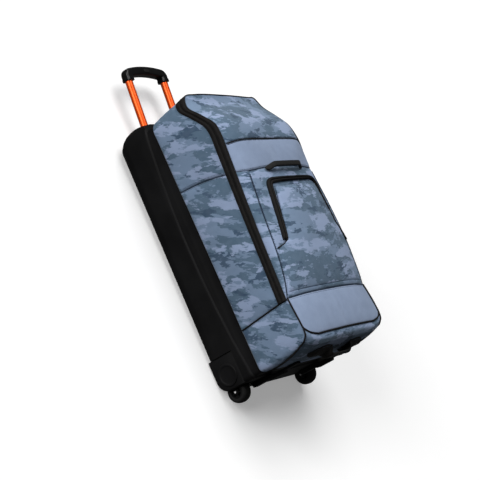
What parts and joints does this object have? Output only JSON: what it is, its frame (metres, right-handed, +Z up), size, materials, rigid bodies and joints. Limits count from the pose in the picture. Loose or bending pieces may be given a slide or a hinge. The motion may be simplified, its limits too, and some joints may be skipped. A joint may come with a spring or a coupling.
{
  "type": "wheeled gear duffel bag",
  "caption": "Rolling gear duffel with a moulded back tray, wheels, a pull-out handle and a zipped camouflage cloth body.",
  "frame": {"origin": "middle of the tray's flat back, on the floor the bag lies on", "axes": "+Z up from the back to the lid, +X towards the wheels, -X towards the handle, near side at -Y"},
  "size_m": [1.0556, 0.4208, 0.389],
  "materials": {
    "camo_cloth": "matt",
    "plain_cloth": "matt",
    "black_cloth": "matt",
    "moulded_plastic": "matt",
    "rubber": "matt",
    "orange_tube": "satin",
    "steel": "satin"
  },
  "bodies": {
    "bag": {"near_mid_side": "camo_cloth", "far_mid_side": "camo_cloth", "near_upper_side": "camo_cloth", "far_upper_side": "camo_cloth", "top_panel": "camo_cloth", "near_lower_side": "camo_cloth", "far_lower_side": "camo_cloth", "bottom_panel": "camo_cloth", "lid_top_panel": "camo_cloth", "front_panel": "camo_cloth", "near_gusset": "camo_cloth", "far_gusset": "camo_cloth", "pocket_panel": "camo_cloth", "upper_panel": "plain_cloth", "lower_panel": "plain_cloth", "near_zip_tape": "black_cloth", "top_zip_tape": "black_cloth", "far_zip_tape": "black_cloth", "main_zip_coil": "black_cloth", "upper_slider": "black_cloth", "lower_slider": "black_cloth", "pocket_zip": "black_cloth", "pocket_piping": "black_cloth", "front_handle": "black_cloth", "bottom_handle": "black_cloth", "near_side_piping": "black_cloth", "far_side_piping": "black_cloth", "near_edge_piping": "black_cloth", "far_edge_piping": "black_cloth", "near_corner_piping": "black_cloth", "far_corner_piping": "black_cloth", "lower_panel_piping": "black_cloth", "lower_seam_piping": "black_cloth", "lid_seam_piping": "black_cloth", "near_front_piping": "black_cloth", "far_front_piping": "black_cloth", "chassis_tray": "moulded_plastic", "near_wheel_housing": "moulded_plastic", "far_wheel_housing": "moulded_plastic", "near_hub_cap": "moulded_plastic", "far_hub_cap": "moulded_plastic", "near_collar": "moulded_plastic", "far_collar": "moulded_plastic", "near_skid": "moulded_plastic", "far_skid": "moulded_plastic", "upper_saddle": "moulded_plastic", "lower_saddle": "moulded_plastic", "near_axle": "steel", "far_axle": "steel", "near_guide": "steel", "far_guide": "steel"},
    "handle": {"near_tube": "orange_tube", "far_tube": "orange_tube", "grip": "moulded_plastic"},
    "button": {"release_button": "rubber"},
    "near_wheel": {"near_tyre": "rubber", "near_hub": "moulded_plastic"},
    "far_wheel": {"far_tyre": "rubber", "far_hub": "moulded_plastic"}
  },
  "joints": [
    {"name": "handle_slide", "type": "slide", "parent": "bag", "child": "handle", "axis": [0.9954, 0, -0.0958], "range_m": [0, 0.169]},
    {"name": "button_press", "type": "slide", "parent": "handle", "child": "button", "axis": [-0.0958, 0, -0.9954], "range_m": [0, 0.002], "stiffness_N_per_m": 500},
    {"name": "near_wheel_spin", "type": "hinge", "parent": "bag", "child": "near_wheel", "pos_m": [0.405, -0.172, 0.038], "axis": [0, 1, 0], "continuous": true},
    {"name": "far_wheel_spin", "type": "hinge", "parent": "bag", "child": "far_wheel", "pos_m": [0.405, 0.172, 0.038], "axis": [0, 1, 0], "continuous": true}
  ]
}
